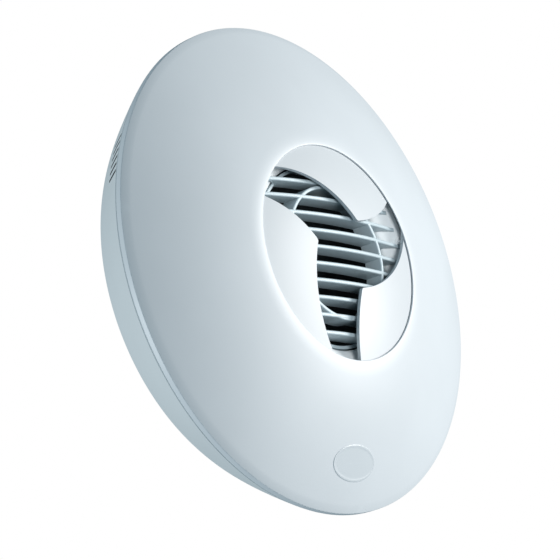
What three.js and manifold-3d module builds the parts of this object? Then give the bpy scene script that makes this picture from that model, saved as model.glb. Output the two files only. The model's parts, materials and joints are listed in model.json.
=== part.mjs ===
// Round extract fan with a three-leaf iris shutter, for a 100 mm duct.
// Millimetres. The front faces -Y, +Z is up, and the wall plane is Y = 0, so a height h above the
// wall is Y = -h. Angles in the plan view run anticlockwise from +X as seen from the front.
import * as THREE from 'three';
import { mergeVertices } from 'three/addons/utils/BufferGeometryUtils.js';
import Module from 'manifold-3d';

// ---- driving dimensions ----
const RIM_R = 125;              // cover rim radius
const RIM_H = 36;               // height of the rim plane above the wall
const DOME_R = 238;             // radius of the cover's spherical face
const MOUTH_R = 55.2;           // radius of the iris mouth in the cover
const LIP_R = 64;               // where the rolled lip leaves the dome
const COVER_T = 2;              // cover wall
const THIN_T = 1.2;             // cover wall over the leaves
const LEAF_ROOM_R = 86;         // how far out the cover is thin
const SEAM_R = 124.6;           // joint between cover and base
const SEAM_H = 32;
const BACK_R = 101.6;            // base radius at the wall
const PLATE_T = 2.4;            // base back plate
const SPIGOT_R = 48.9;          // duct spigot, outside
const SPIGOT_T = 2;
const SPIGOT_L = 38;            // spigot length behind the wall

const LEAF_TOP = 236.5;         // outer sphere of the leaves
const LEAF_T = 1.8;
const LEAF_EDGE_R = 63;
const LEAF_GAP = 0.3;           // half the seam between closed leaves
const SEAM_ARC_R = 61.8;        // plan radius of the leaves' curved seams
const SEAM_ARC_DIR = 197.85;    // direction of that arc's centre from the axis, leaf 1
const PIVOT_R = 59;             // leaf pivot circle
const PIVOT_DIR = 132.2;        // direction of leaf 1's pivot
const LEAF_SWING = 19.7;        // degrees from closed to open
const LEVER = 12;               // pivot to drive peg
const PEG_R = 1.6;
const PIN_R = 1.8;
const RING_SWING = 3.33;        // degrees that the drive ring turns for the whole leaf swing
const RING_H = 46.4;            // underside of the drive ring
const RING_T = 2.6;
const GEAR_TEETH = 160;         // full-circle count of the ring's toothed sector, module 1
const PINION_TEETH = 12;
const PINION_DIR = -32;         // direction of the actuator from the axis

const GRILLE_TOP = 232.4;         // outer sphere of the louvre blades
const GRILLE_DEPTH = 10;
const GRILLE_R = 56.6;          // reach of the blades over the funnel
const GRILLE_RING_R = 46.5;     // outside of the ring that joins the blades
const LOUVRE_PITCH = 8.55;
const LOUVRE_START = 1.4;       // height of the middle blade above the axis
const LOUVRE_T = 2;
const RIB_R = 33.7;
const DUCT_R = 46.9;            // air duct bore beside the impeller
const DUCT_TOP = 51.5;          // height of the air duct's front end
const FUNNEL_R = 57.4;          // where the carrier's funnel meets its flat front
const FUNNEL_H = 58.5;
const MOTOR_R = 17.5;
const SHAFT_R = 2;
const HUB_R = 19;
const TIP_R = 45.4;
const BLADES = 7;

const CLEAR = 0.35;             // gap between neighbouring parts
const BIG = 44;                 // facets round the large turned parts
const MID = 30;
const SMALL = 20;
const CENTRE_H = RIM_H - Math.sqrt(DOME_R ** 2 - RIM_R ** 2);   // centre of every dome sphere

const wasm = await Module();
wasm.setup();

// ---- geometry helpers ----
const rad = THREE.MathUtils.degToRad;
const domeH = (sphere, r) => CENTRE_H + Math.sqrt(sphere ** 2 - r ** 2);
const at = (r, dir, h = 0) => new THREE.Vector3(r * Math.cos(rad(dir)), -h, r * Math.sin(rad(dir)));

function solid(geometry) {
  const bare = geometry.clone();
  bare.deleteAttribute('normal');
  bare.deleteAttribute('uv');
  const merged = mergeVertices(bare, 1e-4);
  const vertProperties = new Float32Array(merged.attributes.position.array);
  const triVerts = new Uint32Array(merged.index.array);
  if (signedVolume(vertProperties, triVerts) < 0) {
    for (let i = 0; i < triVerts.length; i += 3) {
      [triVerts[i], triVerts[i + 1]] = [triVerts[i + 1], triVerts[i]];
    }
  }
  return new wasm.Manifold(new wasm.Mesh({ numProp: 3, vertProperties, triVerts }));
}

function signedVolume(points, triangles) {
  const corner = (i) => new THREE.Vector3().fromArray(points, 3 * triangles[i]);
  let total = 0;
  for (let i = 0; i < triangles.length; i += 3) {
    total += corner(i).dot(corner(i + 1).cross(corner(i + 2)));
  }
  return total;
}

function toGeometry(manifold) {
  const mesh = manifold.getMesh();
  const geometry = new THREE.BufferGeometry();
  geometry.setAttribute('position', new THREE.BufferAttribute(mesh.vertProperties, 3));
  geometry.setIndex(new THREE.BufferAttribute(mesh.triVerts, 1));
  return geometry;
}

const join = (solids) => solids.reduce((sum, next) => sum.add(next));
const cut = (body, tools) => tools.reduce((left, tool) => left.subtract(tool), body);

// A part turned about the fan's axis from a closed outline of [radius, height] pairs.
function turned(outline, facets = BIG) {
  const points = outline.map(([r, h]) => new THREE.Vector2(r, -h));
  points.push(points[0].clone());
  return solid(new THREE.LatheGeometry(points, facets));
}

// A solid of revolution about the axis that starts and ends on it.
function spun(outline, facets = MID) {
  return solid(new THREE.LatheGeometry(outline.map(([r, h]) => new THREE.Vector2(r, -h)), facets));
}

const tube = (inner, outer, low, high, facets = BIG) =>
  turned([[inner, low], [outer, low], [outer, high], [inner, high]], facets);
const rod = (radius, low, high, facets = SMALL) =>
  spun([[0, low], [radius, low], [radius, high], [0, high]], facets);

// A plan outline in X and Z, standing from height low to height high.
function plate(shape, low, high) {
  const geometry = new THREE.ExtrudeGeometry(shape, { depth: high - low, bevelEnabled: false, curveSegments: 8 });
  geometry.rotateX(Math.PI / 2);
  geometry.translate(0, -low, 0);
  return solid(geometry);
}

function block(width, tall, low, high) {
  return solid(new THREE.BoxGeometry(width, high - low, tall).translate(0, -(low + high) / 2, 0));
}

const move = (body, place) => body.translate([place.x, place.y, place.z]);

// Turns a solid about the fan's axis, anticlockwise as seen from the front.
const spin = (body, degrees) => body.rotate([0, -degrees, 0]);

// A block whose width is radial, set at a radius and a direction.
const radialBlock = (radial, across, low, high, r, dir) =>
  spin(move(block(radial, across, low, high), at(r, 0)), dir);

// Points along a sphere from one radius to another, as [radius, height] pairs.
function domeLine(sphere, from, to, steps) {
  return Array.from({ length: steps + 1 }, (_, i) => {
    const r = THREE.MathUtils.lerp(from, to, i / steps);
    return [r, domeH(sphere, r)];
  });
}

function curveLine(points, steps) {
  const [a, b, c] = points.map(([r, h]) => new THREE.Vector2(r, h));
  return new THREE.QuadraticBezierCurve(a, b, c).getPoints(steps).map((p) => [p.x, p.y]);
}

function polar(radius, degrees) {
  return new THREE.Vector2(radius * Math.cos(rad(degrees)), radius * Math.sin(rad(degrees)));
}

// ---- finishes ----
const FINISH = {
  white: { color: 0xe9ecee, roughness: 0.42, metalness: 0 },
  warm: { color: 0xd9dcdc, roughness: 0.55, metalness: 0 },
  dark: { color: 0x2a2c2e, roughness: 0.6, metalness: 0 },
  steel: { color: 0xb4b8bb, roughness: 0.3, metalness: 1 },
  rubber: { color: 0x1b1b1c, roughness: 0.85, metalness: 0 },
  board: { color: 0x1f6a41, roughness: 0.5, metalness: 0 },
  copper: { color: 0xb5713c, roughness: 0.35, metalness: 1 },
};

const fan = new THREE.Group();

function add(name, body, finish, parent = fan) {
  const mesh = new THREE.Mesh(toGeometry(body), new THREE.MeshStandardMaterial(FINISH[finish]));
  mesh.name = name;
  parent.add(mesh);
  return mesh;
}

// ---- front cover and badge ----
const BADGE_R = 102.8;
const BADGE_DIR = -87.3;
const BADGE_HALF = [15.8, 8.4];

function ovalShape(halfWidth, halfHeight) {
  return new THREE.Shape().absellipse(0, 0, halfWidth, halfHeight, 0, 2 * Math.PI);
}

const badgePlace = at(BADGE_R, BADGE_DIR);
const ovalPlug = (grow) => move(plate(ovalShape(BADGE_HALF[0] + grow, BADGE_HALF[1] + grow), 0, 80), badgePlace);

function frontCover() {
  const inner = DOME_R - COVER_T;
  const crown = MOUTH_R + 3.4;
  const lip = curveLine([[MOUTH_R, domeH(DOME_R, MOUTH_R) - 0.6], [crown, domeH(DOME_R, crown) + 0.1],
    [LIP_R, domeH(DOME_R, LIP_R)]], 4);
  const outline = [
    ...domeLine(DOME_R, LIP_R, RIM_R - 1.2, 6),
    [RIM_R, RIM_H - 0.9],
    [SEAM_R + 0.3, SEAM_H + CLEAR],
    [SEAM_R - 1.7, SEAM_H + CLEAR],
    [RIM_R - COVER_T - 1, RIM_H - COVER_T - 0.6],
    ...domeLine(inner, RIM_R - COVER_T - 2.6, LEAF_ROOM_R + 1.5, 3),
    ...domeLine(DOME_R - THIN_T, LEAF_ROOM_R, MOUTH_R, 4),
    ...lip.slice(0, -1),
  ];
  const recess = ovalPlug(CLEAR).subtract(spun([[0, 0], ...domeLine(DOME_R - 0.9, 0.01, RIM_R, 7), [0, 0]], BIG));
  return turned(outline).subtract(recess);
}

function badge() {
  const top = spun([[0, 0], [0.01, domeH(DOME_R + 0.2, 0)], ...domeLine(DOME_R + 0.2, 8, RIM_R, 12), [0, 0]], BIG);
  const bottom = spun([[0, -1], [0.01, domeH(DOME_R - 0.5, 0)], ...domeLine(DOME_R - 0.5, 8, RIM_R, 12), [0, -1]], BIG);
  return ovalPlug(0).intersect(top).subtract(bottom);
}

// ---- base, clips and spigot ----
const VENT_DIRS = [156.3, 23.7];
const VENT_COUNT = 6;
const VENT_STEP = 1.95;
const VENT_LOW = 20;
const VENT_HIGH = 30.5;
const CABLE_DIR = 62;
const FOOT_DIRS = [105, 225, 345];
const CLIP_DIRS = [0, 120, 240];
const WALL_HOLE_DIRS = [45, 135, 225, 315];
const DUCT_SCREW_DIRS = [30, 150, 270];

function baseHousing() {
  const wall = 2.2;
  const outer = curveLine([[BACK_R, 0], [109.6, 7.2], [SEAM_R - 0.3, SEAM_H]], 5);
  const inner = curveLine([[BACK_R - wall, PLATE_T], [106.9, 8.5], [SEAM_R - 0.3 - wall, SEAM_H]], 5).reverse();
  const body = turned([
    [SPIGOT_R + 0.5, 0], ...outer,
    [SEAM_R - 4.1, SEAM_H],
    [SEAM_R - 4.1, SEAM_H + 2.4],
    [SEAM_R - 5.5, SEAM_H + 2.4],
    [SEAM_R - 5.5, SEAM_H - 3.6],
    ...inner.slice(1), [SPIGOT_R + 0.5, PLATE_T],
  ]);
  const slots = VENT_DIRS.flatMap((middle) => Array.from({ length: VENT_COUNT }, (_, i) =>
    radialBlock(16, 1.5, VENT_LOW, VENT_HIGH, 119, middle + (i - (VENT_COUNT - 1) / 2) * VENT_STEP)));
  const wallHoles = WALL_HOLE_DIRS.map((dir) => move(rod(2.4, -1, 5, 12), at(92, dir)));
  const cableHole = move(rod(8, -1, 5), at(84, CABLE_DIR));
  const footHoles = FOOT_DIRS.map((dir) => move(rod(1.8, -1, 5, 10), at(76, dir)));
  return cut(body, [...slots, ...wallHoles, cableHole, ...footHoles]);
}

function coverClip(dir) {
  const leaf = radialBlock(1.4, 14, PLATE_T + CLEAR, 33, 98, dir);
  const foot = radialBlock(8, 14, PLATE_T + CLEAR, PLATE_T + 2, 94.4, dir);
  const hook = radialBlock(4.2, 14, 31, 33.4, 99.6, dir);
  return join([leaf, foot, hook]);
}

function spigot() {
  const low = PLATE_T + CLEAR;
  const body = turned([
    [SPIGOT_R - SPIGOT_T, -SPIGOT_L], [SPIGOT_R, -SPIGOT_L], [SPIGOT_R, low],
    [58, low], [58, low + 2], [SPIGOT_R - SPIGOT_T, low + 2],
  ], MID);
  return cut(body, DUCT_SCREW_DIRS.map((dir) => move(rod(1.7, low - 1, low + 3, 10), at(54, dir))));
}

const spigotSeal = () => turned([
  [SPIGOT_R + CLEAR, -31], [SPIGOT_R + 0.9, -31], [SPIGOT_R + 1.9, -29.4],
  [SPIGOT_R + 0.9, -27.8], [SPIGOT_R + CLEAR, -27.8],
], MID);

// ---- air duct, grille, motor and impeller ----
function airDuct() {
  const low = PLATE_T + 2 + 2 * CLEAR;
  const body = turned([
    [DUCT_R, low], [DUCT_R, DUCT_TOP], [DUCT_R + 2, DUCT_TOP],
    [DUCT_R + 2, low + 2], [58, low + 2], [58, low],
  ], 36);
  return cut(body, DUCT_SCREW_DIRS.map((dir) => move(rod(1.7, low - 1, low + 3, 10), at(54, dir))));
}

function ductScrew(dir) {
  const low = PLATE_T + 2 + 2 * CLEAR;
  const shank = rod(1.35, PLATE_T + CLEAR + 0.1, low + 2.5, 12);
  const head = rod(2.6, low + 2 + CLEAR, low + 4, 12);
  return move(shank.add(head), at(54, dir));
}

// The shallow funnel that leads the air from the iris into the duct, part of the carrier.
const funnelLine = () =>
  curveLine([[DUCT_R + 0.4, FUNNEL_H - 4.8], [DUCT_R + 0.4, FUNNEL_H - 1.7], [FUNNEL_R, FUNNEL_H]], 4);

function louvreGrille() {
  const top = domeLine(GRILLE_TOP, 0.01, GRILLE_R, 3);
  const bottom = domeLine(GRILLE_TOP - GRILLE_DEPTH, 0.01, GRILLE_R, 3).reverse();
  const slab = spun([[0, top[0][1]], ...top, ...bottom, [0, bottom.at(-1)[1]]], 24);
  const rows = Math.floor(GRILLE_RING_R / LOUVRE_PITCH);
  const blades = Array.from({ length: 2 * rows + 1 }, (_, i) =>
    block(2 * GRILLE_R + 4, LOUVRE_T, 30, 70).translate([0, 0, LOUVRE_START + (i - rows) * LOUVRE_PITCH]));
  const ring = tube(GRILLE_RING_R - 1.8, GRILLE_RING_R, 30, FUNNEL_H - 4, MID);
  const rib = tube(RIB_R - 0.9, RIB_R + 0.9, 30, 70, MID);
  const overFunnel = funnelLine().map(([r, h]) => [r - CLEAR - 0.45, h + CLEAR + 0.1]);
  const room = spun([[0, 30], [GRILLE_RING_R, 30], ...overFunnel, [FUNNEL_R, 70], [0, 70]], BIG);
  return join([...blades, ring, rib]).intersect(slab).intersect(room);
}

function motorBracket() {
  const cup = turned([[MOTOR_R + CLEAR, -34.5], [MOTOR_R + 2, -34.5], [MOTOR_R + 2, -16], [MOTOR_R + CLEAR, -16]], MID);
  const ring = tube(DUCT_R - 2.3, DUCT_R - CLEAR, -34, -18, MID);
  const vanes = Array.from({ length: 5 }, (_, i) =>
    spin(move(block(26, 1.8, -34, -18), at(MOTOR_R + 1 + 13, 0)), 36 + 72 * i));
  return join([cup, ring, ...vanes]);
}

const BEARING_R = 5.5;
const BEARING_SEAT = [[-33, -30], [-8, -5]];

function motorHousing() {
  const shell = turned([
    [BEARING_R + CLEAR, -34], [MOTOR_R, -34], [MOTOR_R, -4], [BEARING_R + CLEAR, -4],
    [BEARING_R + CLEAR, -8.5], [MOTOR_R - 1.8, -8.5], [MOTOR_R - 1.8, -29.5], [BEARING_R + CLEAR, -29.5],
  ], MID);
  return shell;
}

const motorStator = () => tube(11, MOTOR_R - 1.8 - CLEAR, -26, -12, 32);
const motorRotor = () => tube(SHAFT_R + CLEAR, 10.4, -26, -12, 24);
const motorShaft = () => rod(SHAFT_R, -35, 21, SMALL);
const bearing = ([low, high]) => tube(SHAFT_R + CLEAR, BEARING_R, low, high, SMALL);

function impellerBlade() {
  const span = TIP_R - HUB_R + 3;
  const geometry = new THREE.BoxGeometry(span, 1.5, 25, 3, 1, 3);
  const spots = geometry.attributes.position;
  for (let i = 0; i < spots.count; i += 1) {
    const outward = spots.getX(i) / span + 0.5;
    const along = spots.getZ(i);
    const pitch = rad(THREE.MathUtils.lerp(48, 28, outward));
    const camber = 2.4 * (1 - (along / 12.5) ** 2);
    const lift = spots.getY(i) + camber;
    spots.setXYZ(i, HUB_R - 3 + outward * span,
      -(7 + along * Math.sin(pitch) + lift * Math.cos(pitch)), along * Math.cos(pitch) - lift * Math.sin(pitch));
  }
  return solid(geometry);
}

function impeller() {
  const hub = turned([
    [SHAFT_R + CLEAR, -2], [6, -2], [6, 12.5], [HUB_R - 1.8, 12.5], [HUB_R - 1.8, -2.5], [HUB_R, -2.5],
    [HUB_R, 11], [HUB_R - 1.6, 14], [HUB_R - 5, 15], [SHAFT_R + CLEAR, 15],
  ], MID);
  const room = turned([[HUB_R - 1, -12], [TIP_R, -12], [TIP_R, 26], [HUB_R - 1, 26]], MID);
  const blade = impellerBlade().intersect(room);
  return join([hub, ...Array.from({ length: BLADES }, (_, i) => spin(blade, (360 / BLADES) * i))]);
}

const impellerCap = () => spun([[0, 21.4], [SHAFT_R + CLEAR, 21.4], [SHAFT_R + CLEAR, 15.4], [9, 15.4],
  [8.6, 18.5], [6.4, 21.6], [3.4, 23.2], [0, 23.6]], 24);

// ---- iris: carrier, drive ring, leaves, pins ----
const LEAF_DIRS = [0, 120, 240];
const pivotPoint = at(PIVOT_R, PIVOT_DIR, domeH(LEAF_TOP, PIVOT_R));
const pivotAxis = pivotPoint.clone().sub(new THREE.Vector3(0, -CENTRE_H, 0)).normalize();
const opening = (degrees) => new THREE.Quaternion().setFromAxisAngle(pivotAxis, rad(degrees));

// A round bar on leaf 1's pivot direction, at a plan point, from one sphere to another.
function pivotBar(radius, foot, low, high, facets = 16) {
  const geometry = new THREE.CylinderGeometry(radius, radius, high - low, facets);
  geometry.translate(0, (low + high) / 2 - LEAF_TOP, 0);
  geometry.applyQuaternion(new THREE.Quaternion().setFromUnitVectors(new THREE.Vector3(0, 1, 0), pivotAxis));
  geometry.translate(foot.x, foot.y, foot.z);
  return solid(geometry);
}

const pegDir = PIVOT_DIR - LEAF_SWING / 2;
const pegPlan = at(PIVOT_R, PIVOT_DIR).add(at(LEVER, pegDir));
const pegPlanR = Math.hypot(pegPlan.x, pegPlan.z);
const pegPoint = new THREE.Vector3(pegPlan.x, -domeH(LEAF_TOP, pegPlanR), pegPlan.z);
const PEG_FOOT = LEAF_TOP - 12;

function leafOutline() {
  const wide = 4.2;
  const shape = new THREE.Shape();
  const root = at(PIVOT_R - 4, PIVOT_DIR);
  shape.absarc(root.x, root.z, wide, rad(pegDir + 90), rad(pegDir + 270), false);
  shape.absarc(pegPlan.x, pegPlan.z, wide - 0.6, rad(pegDir - 90), rad(pegDir + 90), false);
  return shape;
}

function closedLeaf() {
  const shell = (from, to) => [
    ...domeLine(LEAF_TOP, from, to, 4), ...domeLine(LEAF_TOP - LEAF_T, from, to, 4).reverse(),
  ];
  const disc = spun([[0, domeH(LEAF_TOP, 0)], ...shell(0.5, LEAF_EDGE_R), [0, domeH(LEAF_TOP - LEAF_T, 0)]], 40);
  const arc = (radius, dir) => move(rod(radius, 30, 80, 72), at(SEAM_ARC_R, dir));
  const blade = disc
    .intersect(arc(SEAM_ARC_R - LEAF_GAP, SEAM_ARC_DIR - 120))
    .subtract(arc(SEAM_ARC_R + LEAF_GAP, SEAM_ARC_DIR));
  const arm = turned(shell(50, 78), 40).intersect(plate(leafOutline(), 30, 80))
    .subtract(arc(SEAM_ARC_R + LEAF_GAP, SEAM_ARC_DIR));
  const peg = pivotBar(PEG_R, pegPoint, PEG_FOOT, LEAF_TOP - 0.9, 12);
  return cut(join([blade, arm, peg]), [pivotBar(PIN_R + 0.3, pivotPoint, LEAF_TOP - 6, LEAF_TOP + 4)]);
}

// The leaf as it rests, swung open about its pivot.
function openLeaf() {
  const geometry = toGeometry(closedLeaf());
  geometry.translate(-pivotPoint.x, -pivotPoint.y, -pivotPoint.z);
  geometry.applyQuaternion(opening(LEAF_SWING));
  geometry.translate(pivotPoint.x, pivotPoint.y, pivotPoint.z);
  return solid(geometry);
}

// Where the peg's bar runs when the leaf is open by some degrees.
function pegPlace(degrees) {
  return pegPoint.clone().sub(pivotPoint).applyQuaternion(opening(degrees)).add(pivotPoint);
}

function pegSlots() {
  const steps = 8;
  const marks = Array.from({ length: steps + 1 }, (_, i) => {
    const part = i / steps;
    const bar = pivotBar(PEG_R + 0.4, pegPlace(LEAF_SWING * (1 - part)), PEG_FOOT - 4, LEAF_TOP, 12);
    return spin(bar, RING_SWING * part);
  });
  return LEAF_DIRS.map((dir) => spin(join(marks), dir));
}

const MODULE = 1;
const ringPitchR = GEAR_TEETH * MODULE / 2;
const pinionPitchR = PINION_TEETH * MODULE / 2;

// The points of one straight-sided tooth at a direction, on a gear of some pitch radius.
function toothPoints(pitchR, degrees) {
  const step = (length, r) => THREE.MathUtils.radToDeg(length / r);
  const root = pitchR - 1.2;
  const tip = pitchR + 0.85;
  return [
    polar(root, degrees - step(0.95, root)), polar(tip, degrees - step(0.33, tip)),
    polar(tip, degrees + step(0.33, tip)), polar(root, degrees + step(0.95, root)),
  ];
}

function driveRing() {
  const band = tube(PIVOT_R + 5, ringPitchR - 1.3, RING_H, RING_H + RING_T);
  const pitch = 360 / GEAR_TEETH;
  const half = 5;
  const teeth = Array.from({ length: 2 * half + 1 }, (_, i) =>
    toothPoints(ringPitchR, PINION_DIR + (i - half) * pitch)).flat();
  const ends = [polar(ringPitchR - 4, PINION_DIR + (half + 0.5) * pitch),
    polar(ringPitchR - 4, PINION_DIR), polar(ringPitchR - 4, PINION_DIR - (half + 0.5) * pitch)];
  const sector = plate(new THREE.Shape([...teeth, ...ends]), RING_H, RING_H + RING_T);
  return cut(band.add(sector), pegSlots());
}

const pinionPlace = at(ringPitchR + pinionPitchR + 0.25, PINION_DIR);

function pinion() {
  const pitch = 360 / PINION_TEETH;
  const outline = Array.from({ length: PINION_TEETH }, (_, i) =>
    toothPoints(pinionPitchR, PINION_DIR + (i + 0.5) * pitch)).flat();
  const bore = rod(1.3 + CLEAR, 30, 60, 12);
  return move(plate(new THREE.Shape(outline), RING_H - 0.6, RING_H + RING_T + 0.4).subtract(bore), pinionPlace);
}

function irisActuator() {
  const can = rod(12.5, 20, 38.5, 32);
  const ears = block(36, 7, 37.5, 38.5);
  const boss = rod(4, 38.5, 40, 16);
  const axle = rod(1.3, 39, RING_H + RING_T + 1, 12);
  return move(join([can, spin(ears, PINION_DIR + 90), boss, axle]), pinionPlace);
}

function irisCarrier() {
  const low = RING_H - 3.4;
  const top = RING_H - CLEAR;
  const collarR = PIVOT_R + 2.6;
  const throatR = DUCT_R + 0.4;
  const throatFoot = DUCT_TOP + CLEAR;
  const body = turned([
    [PIVOT_R, low], [82, low], [82, top], [collarR, top], [collarR, FUNNEL_H], ...funnelLine().reverse(),
    [throatR, throatFoot], [throatR + 1.8, throatFoot], [throatR + 1.8, FUNNEL_H - 4.6],
    [throatR + 3.2, FUNNEL_H - 2.8], [PIVOT_R, FUNNEL_H - 1.8],
  ]);
  const posts = LEAF_DIRS.map((dir) => spin(pivotBar(3.4, pivotPoint, LEAF_TOP - 13, LEAF_TOP - 4.9), dir));
  const legs = FOOT_DIRS.map((dir) => move(rod(4.5, PLATE_T + CLEAR, top - 0.5, 16), at(76, dir)));
  const pinHoles = LEAF_DIRS.map((dir) => spin(pivotBar(PIN_R + CLEAR, pivotPoint, LEAF_TOP - 10, LEAF_TOP), dir));
  const screwHoles = FOOT_DIRS.map((dir) => move(rod(1.7, 0, 12, 12), at(76, dir)));
  const actuatorRoom = move(rod(9, low - 1, top + 1, 24), pinionPlace);
  return cut(join([body, ...posts, ...legs]), [...pinHoles, ...screwHoles, actuatorRoom]);
}

const leafPin = () => pivotBar(PIN_R, pivotPoint, LEAF_TOP - 9, LEAF_TOP - 0.1, 12);

function carrierScrew(dir) {
  return move(rod(1.35, 0.3, 11, 12), at(76, dir));
}

// ---- electrics ----
const BOARD_X = -8;
const BOARD_Z = -82;
const BOARD_TOP = 9.6;

function controlBoard() {
  const place = new THREE.Vector3(BOARD_X, 0, BOARD_Z);
  const panel = block(66, 26, BOARD_TOP - 1.6, BOARD_TOP);
  const posts = [-29, 29].map((x) => rod(2, PLATE_T + CLEAR, BOARD_TOP - 1, 12).translate([x, 0, 0]));
  return move(join([panel, ...posts]), place);
}

const onBoard = (body, x, z) => body.translate([BOARD_X + x, 0, BOARD_Z + z]);
const capacitor = () => onBoard(rod(5.5, BOARD_TOP + CLEAR, 24, 16), -24, 3);
const relay = () => onBoard(block(15, 18, BOARD_TOP + CLEAR, 25), -9, 0);
const transformer = () => onBoard(block(20, 20, BOARD_TOP + CLEAR, 27), 11, 0);
const fuseHolder = () => onBoard(block(7, 20, BOARD_TOP + CLEAR, 15), 27, 0);

const TERMINAL_DIR = 36;

function terminalBlock() {
  const body = radialBlock(14, 34, PLATE_T + CLEAR, 15, 84, TERMINAL_DIR);
  const wells = [-1.5, -0.5, 0.5, 1.5].map((i) =>
    spin(move(rod(2.4, 9, 20, 12), new THREE.Vector3(81, 0, 8 * i)), TERMINAL_DIR));
  return cut(body, wells);
}

function terminalCover() {
  const outside = radialBlock(19, 39, PLATE_T + CLEAR, 20, 84, TERMINAL_DIR);
  const inside = radialBlock(15.5, 35.5, 0, 18, 84, TERMINAL_DIR);
  return outside.subtract(inside);
}

const CLAMP_DIR = 76;
const cableClamp = () => radialBlock(9, 22, PLATE_T + 6, PLATE_T + 9, 90, CLAMP_DIR);

function clampScrew(side) {
  const place = at(90, CLAMP_DIR).add(at(7.8 * side, CLAMP_DIR + 90));
  return move(rod(1.4, PLATE_T + CLEAR, PLATE_T + 5.7, 12), place);
}

function cableGrommet() {
  const outline = [[4, 0], [7.6, 0], [7.6, PLATE_T + CLEAR], [10, PLATE_T + CLEAR],
    [10, PLATE_T + 2.2], [4, PLATE_T + 2.2]];
  return move(turned(outline, 24), at(84, CABLE_DIR));
}

// ---- assembly ----
add('front_cover', frontCover(), 'white');
add('badge', badge(), 'white');
add('base_housing', baseHousing(), 'warm');
add('spigot', spigot(), 'warm');
add('spigot_seal', spigotSeal(), 'rubber');
add('air_duct', airDuct(), 'dark');
add('louvre_grille', louvreGrille(), 'white');
add('motor_bracket', motorBracket(), 'warm');
add('motor_housing', motorHousing(), 'steel');
add('motor_stator', motorStator(), 'copper');
add('motor_rotor', motorRotor(), 'dark');
add('motor_shaft', motorShaft(), 'steel');
add('rear_bearing', bearing(BEARING_SEAT[0]), 'steel');
add('front_bearing', bearing(BEARING_SEAT[1]), 'steel');
add('impeller', impeller(), 'dark');
add('impeller_cap', impellerCap(), 'dark');
add('iris_carrier', irisCarrier(), 'warm');
add('iris_drive_ring', driveRing(), 'warm');
LEAF_DIRS.forEach((dir, i) => {
  add(`iris_leaf_${i + 1}`, spin(openLeaf(), dir), 'white');
  add(`leaf_pivot_pin_${i + 1}`, spin(leafPin(), dir), 'steel');
});
add('iris_actuator', irisActuator(), 'steel');
add('actuator_pinion', pinion(), 'warm');
add('control_board', controlBoard(), 'board');
add('board_capacitor', capacitor(), 'dark');
add('board_relay', relay(), 'dark');
add('board_transformer', transformer(), 'dark');
add('board_fuse_holder', fuseHolder(), 'dark');
add('terminal_block', terminalBlock(), 'white');
add('terminal_cover', terminalCover(), 'warm');
add('cable_clamp', cableClamp(), 'white');
[1, -1].forEach((side, i) => add(`clamp_screw_${i + 1}`, clampScrew(side), 'steel'));
add('cable_grommet', cableGrommet(), 'rubber');
CLIP_DIRS.forEach((dir, i) => add(`cover_clip_${i + 1}`, coverClip(dir), 'warm'));
DUCT_SCREW_DIRS.forEach((dir, i) => add(`duct_screw_${i + 1}`, ductScrew(dir), 'steel'));
FOOT_DIRS.forEach((dir, i) => add(`carrier_screw_${i + 1}`, carrierScrew(dir), 'steel'));

export default fan;
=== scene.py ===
import json
import math

import bmesh
import bpy
from mathutils import Matrix, Vector


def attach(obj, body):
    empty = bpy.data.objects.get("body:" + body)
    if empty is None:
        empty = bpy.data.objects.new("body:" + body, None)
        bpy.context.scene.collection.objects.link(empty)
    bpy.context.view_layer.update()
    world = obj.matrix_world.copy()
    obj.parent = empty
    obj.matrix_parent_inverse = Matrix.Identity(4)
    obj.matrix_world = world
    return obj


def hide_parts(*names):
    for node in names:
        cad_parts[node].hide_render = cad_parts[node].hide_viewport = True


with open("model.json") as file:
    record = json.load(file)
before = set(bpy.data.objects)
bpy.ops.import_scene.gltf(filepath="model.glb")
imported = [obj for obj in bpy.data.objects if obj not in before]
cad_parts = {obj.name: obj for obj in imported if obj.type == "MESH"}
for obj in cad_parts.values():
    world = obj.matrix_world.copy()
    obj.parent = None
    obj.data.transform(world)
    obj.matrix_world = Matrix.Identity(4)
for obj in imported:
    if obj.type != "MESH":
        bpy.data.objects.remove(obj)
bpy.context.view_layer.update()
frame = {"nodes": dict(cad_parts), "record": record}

# ---- dimensions shared with the CAD model, in millimetres unless they are angles ----
MM = 0.001
RIM_R = 125.0
RIM_H = 36.0
DOME_R = 238.0
COVER_T = 2.0
THIN_T = 1.2
LEAF_ROOM_R = 86.0
MOUTH_R = 55.2
LIP_R = 64.0
SEAM_R = 124.6
SEAM_H = 32.0
BACK_R = 101.6
PLATE_T = 2.4
SPIGOT_R = 48.9
SPIGOT_T = 2.0
SPIGOT_L = 38.0
CLEAR = 0.35
CENTRE_H = RIM_H - math.sqrt(DOME_R**2 - RIM_R**2)

LEAF_TOP = 236.5
LEAF_T = 1.8
LEAF_EDGE_R = 63.0
LEAF_GAP = 0.3
SEAM_ARC_R = 61.8
SEAM_ARC_DIR = 197.85
PIVOT_R = 59.0
PIVOT_DIR = 132.2
LEAF_SWING = 19.7
LEVER = 12.0

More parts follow.
